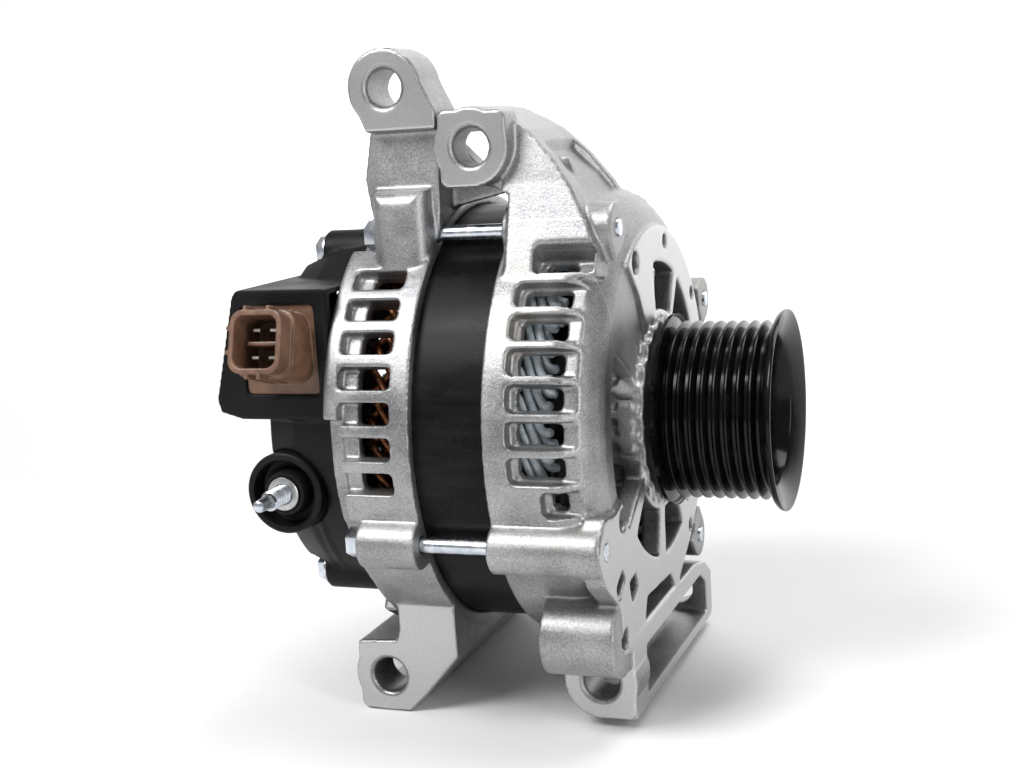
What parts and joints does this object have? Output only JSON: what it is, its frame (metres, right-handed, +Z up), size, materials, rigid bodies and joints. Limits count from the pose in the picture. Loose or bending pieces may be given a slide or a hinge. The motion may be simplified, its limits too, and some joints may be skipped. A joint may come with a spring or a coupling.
{
  "type": "car alternator",
  "caption": "Belt-driven car alternator with cast brackets, vented stator windings, ribbed pulley, four mounting ears, output stud and side connector.",
  "frame": {"origin": "On the shaft axis, midway along the belt grooves of the pulley.", "axes": "+X runs along the shaft out through the pulley nut; -Y is the side the mounting ears and terminals face, which a mounting bolt is pushed in from; +Z is up, toward the two upper ears."},
  "size_m": [0.1621, 0.1513, 0.2034],
  "materials": {
    "cast_aluminium": "die-cast, fine grained, machined on its mounting faces",
    "plate_aluminium": "smooth",
    "black_laminations": "satin varnish over steel laminations",
    "pulley_black": "gloss black coating",
    "zinc_steel": "bluish zinc plate",
    "ground_steel": "ground",
    "pressed_steel": "rolled sheet",
    "forged_iron": "dark forged surface",
    "copper_wire": "enamelled copper",
    "coated_wire": "light resin coating over copper bars",
    "tinned_copper": "bright tin",
    "black_plastic": "moulded, satin",
    "brown_plastic": "moulded, satin",
    "seal_rubber": "moulded",
    "carbon": "pressed carbon"
  },
  "bodies": {
    "housing": {"front_bearing_outer": "ground_steel", "front_bearing_seals": "seal_rubber", "rear_bearing_outer": "ground_steel", "rear_bearing_seals": "seal_rubber", "bearing_retainer": "pressed_steel", "retainer_screws": "zinc_steel", "stator_core": "black_laminations", "stator_winding": "coated_wire", "stator_leads": "copper_wire", "front_bracket": "cast_aluminium", "rear_bracket": "cast_aluminium", "through_bolts": "zinc_steel", "negative_plate": "plate_aluminium", "positive_plate": "plate_aluminium", "negative_diodes": "pressed_steel", "positive_diodes": "pressed_steel", "terminal_carrier": "black_plastic", "rectifier_screws": "zinc_steel", "output_stud": "zinc_steel", "stud_collar": "plate_aluminium", "stud_insulator": "black_plastic", "regulator": "black_plastic", "regulator_cooler": "plate_aluminium", "brush_holder": "black_plastic", "brush_spring_front": "ground_steel", "brush_spring_rear": "ground_steel", "connector_shell": "brown_plastic", "connector_pins": "tinned_copper", "rear_cover": "black_plastic", "cover_studs": "zinc_steel", "cover_nuts": "zinc_steel"},
    "rotor": {"pulley": "pulley_black", "rotor_shaft": "ground_steel", "spacer_collar": "ground_steel", "pulley_nut": "zinc_steel", "front_claw_pole": "forged_iron", "rear_claw_pole": "forged_iron", "field_bobbin": "black_plastic", "field_coil": "copper_wire", "front_fan": "pressed_steel", "rear_fan": "pressed_steel", "slip_sleeve": "black_plastic", "slip_rings": "copper_wire", "front_bearing_inner": "ground_steel", "rear_bearing_inner": "ground_steel"},
    "front_ball_set": {"front_bearing_balls": "ground_steel", "front_bearing_cage": "pressed_steel"},
    "rear_ball_set": {"rear_bearing_balls": "ground_steel", "rear_bearing_cage": "pressed_steel"},
    "front_brush": {"brush_front": "carbon"},
    "rear_brush": {"brush_rear": "carbon"}
  },
  "joints": [
    {"name": "rotor_spin", "type": "hinge", "parent": "housing", "child": "rotor", "pos_m": [0, 0, 0], "axis": [1, 0, 0], "continuous": true},
    {"name": "front_balls_roll", "type": "hinge", "parent": "housing", "child": "front_ball_set", "pos_m": [-0.0274, 0, 0], "axis": [1, 0, 0], "continuous": true},
    {"name": "rear_balls_roll", "type": "hinge", "parent": "housing", "child": "rear_ball_set", "pos_m": [-0.0975, 0, 0], "axis": [1, 0, 0], "continuous": true},
    {"name": "front_brush_slide", "type": "slide", "parent": "housing", "child": "front_brush", "axis": [0, -1, 0], "range_m": [0, 0.005], "stiffness_N_per_m": 150, "springref_m": -0.01, "deforming": ["brush_spring_front"]},
    {"name": "rear_brush_slide", "type": "slide", "parent": "housing", "child": "rear_brush", "axis": [0, -1, 0], "range_m": [0, 0.005], "stiffness_N_per_m": 150, "springref_m": -0.01, "deforming": ["brush_spring_rear"]}
  ],
  "couplings": [
    {"joint": "front_balls_roll", "follows": "rotor_spin", "ratio": 0.3962},
    {"joint": "rear_balls_roll", "follows": "rotor_spin", "ratio": 0.4065}
  ]
}
